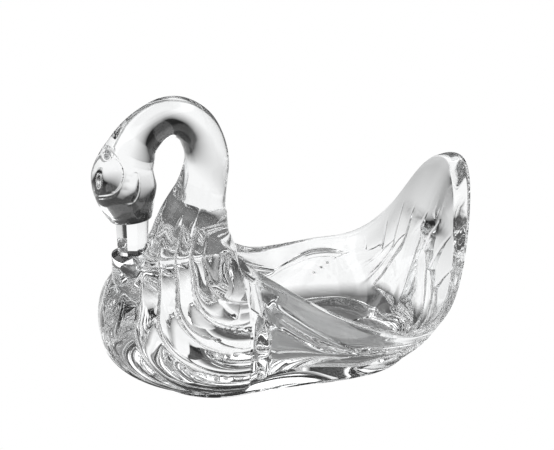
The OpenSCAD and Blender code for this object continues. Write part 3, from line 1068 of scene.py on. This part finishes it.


# The paper glows, and its colour carries a painted shadow and a painted pool of light.
glowing_paper = bpy.data.materials.new("glowing_paper_painted_shade")
glowing_paper.use_nodes = True
tree = glowing_paper.node_tree
tree.nodes.remove(tree.nodes["Principled BSDF"])
paper_place = tree.nodes.new("ShaderNodeTexCoord")


def grey_ramp(tree, value, stops):
    """Greys along a value, from a list of (place, grey)."""
    made = tree.nodes.new("ShaderNodeValToRGB")
    tree.links.new(value, made.inputs["Fac"])
    ends = made.color_ramp.elements
    for end, (place_on, grey) in zip((ends[0], ends[1]), (stops[0], stops[-1])):
        end.position = place_on
        end.color = (grey, grey, grey, 1)
    for place_on, grey in stops[1:-1]:
        ends.new(place_on).color = (grey, grey, grey, 1)
    return made.outputs["Color"]


def paper_reach(tree, size, middle_at=(0, 0, 0)):
    """Distance from the middle of the paper, in shares of a size along each axis."""
    shift = tree.nodes.new("ShaderNodeVectorMath")
    tree.links.new(paper_place.outputs["Object"], shift.inputs[0])
    shift.inputs[1].default_value = middle_at
    shrink = tree.nodes.new("ShaderNodeVectorMath")
    shrink.operation = "DIVIDE"
    tree.links.new(shift.outputs["Vector"], shrink.inputs[0])
    shrink.inputs[1].default_value = size
    reach = tree.nodes.new("ShaderNodeVectorMath")
    reach.operation = "LENGTH"
    tree.links.new(shrink.outputs["Vector"], reach.inputs[0])
    return reach.outputs["Value"]


# Painted shadow: the paper is painted dark grey under and around the swan's footprint, then white beyond.
painted_shadow_greys = ((0.0, 0.3), (0.25, 0.2), (0.45, 0.08), (0.6, 1.0), (1.0, 1.0))
# Painted pool of light: the paper is painted brightest near a middle moved 8 cm along -X, and it falls off to
# near black far out.
painted_light_pool_greys = ((0.0, 1.0), (0.24, 1.0), (0.36, 0.6), (0.55, 0.02), (1.0, 0.02))
# under is the painted shadow under the swan, graded out from the middle of the paper.
under = grey_ramp(tree, paper_reach(tree, (0.23, 0.124, 1)), painted_shadow_greys)
painted_light_pool = grey_ramp(tree, paper_reach(tree, (1, 1, 1), (0.08, 0, 0)), painted_light_pool_greys)
# The painted shadow and the painted pool of light, multiplied together.
painted_shadow_and_light = tree.nodes.new("ShaderNodeMix")
painted_shadow_and_light.data_type = "RGBA"
painted_shadow_and_light.blend_type = "MULTIPLY"
painted_shadow_and_light.inputs["Factor"].default_value = 1
tree.links.new(under, painted_shadow_and_light.inputs["A"])
tree.links.new(painted_light_pool, painted_shadow_and_light.inputs["B"])
glow = tree.nodes.new("ShaderNodeEmission")
# The glow is white to the camera, and it brings the painted shadow and painted light to what the glass sees.
tree.links.new(seen_white(tree, painted_shadow_and_light.outputs["Result"]), glow.inputs["Color"])
glow.inputs["Strength"].default_value = 1.0
tree.links.new(glow.outputs["Emission"], tree.nodes["Material Output"].inputs["Surface"])
floor_mesh.materials.append(glowing_paper)

sky = bpy.data.worlds.new("studio_sky")
scene.world = sky
sky.use_nodes = True
nodes = sky.node_tree.nodes
links = sky.node_tree.links
bright = nodes["Background"]
place_in_sky = nodes.new("ShaderNodeTexCoord")
split = nodes.new("ShaderNodeSeparateXYZ")
links.new(place_in_sky.outputs["Generated"], split.inputs["Vector"])
sky_greys = ((0.0, 0.03), (0.5, 0.03), (0.55, 1.5), (0.8, 1.5), (0.85, 0.04), (1.0, 0.04))
bands = grey_ramp(sky.node_tree, split.outputs["Z"], sky_greys)
links.new(seen_white(sky.node_tree, bands), bright.inputs["Color"])
bright.inputs["Strength"].default_value = 1.0

# ---- Camera ----
# A long lens, a little above the swan and to the left of its side.
camera_data = bpy.data.cameras.new("camera")
camera_data.lens = 162.5
camera_data.sensor_width = 36
camera_data.clip_end = 50
camera = bpy.data.objects.new("camera", camera_data)
scene.collection.objects.link(camera)
azimuth = -25
elevation = 25
toward = Vector((sind(azimuth) * cosd(elevation), -cosd(azimuth) * cosd(elevation), sind(elevation)))
aim = Vector((-0.0014, 0.0005, 0.0883))
camera_away = 1.5
camera.location = aim + camera_away * toward
camera.rotation_euler = (-toward).to_track_quat("-Z", "Y").to_euler()
scene.camera = camera
scene.view_settings.view_transform = "Standard"
scene.cycles.max_bounces = 40
scene.cycles.transmission_bounces = 36
scene.cycles.glossy_bounces = 16
scene.cycles.transparent_max_bounces = 96
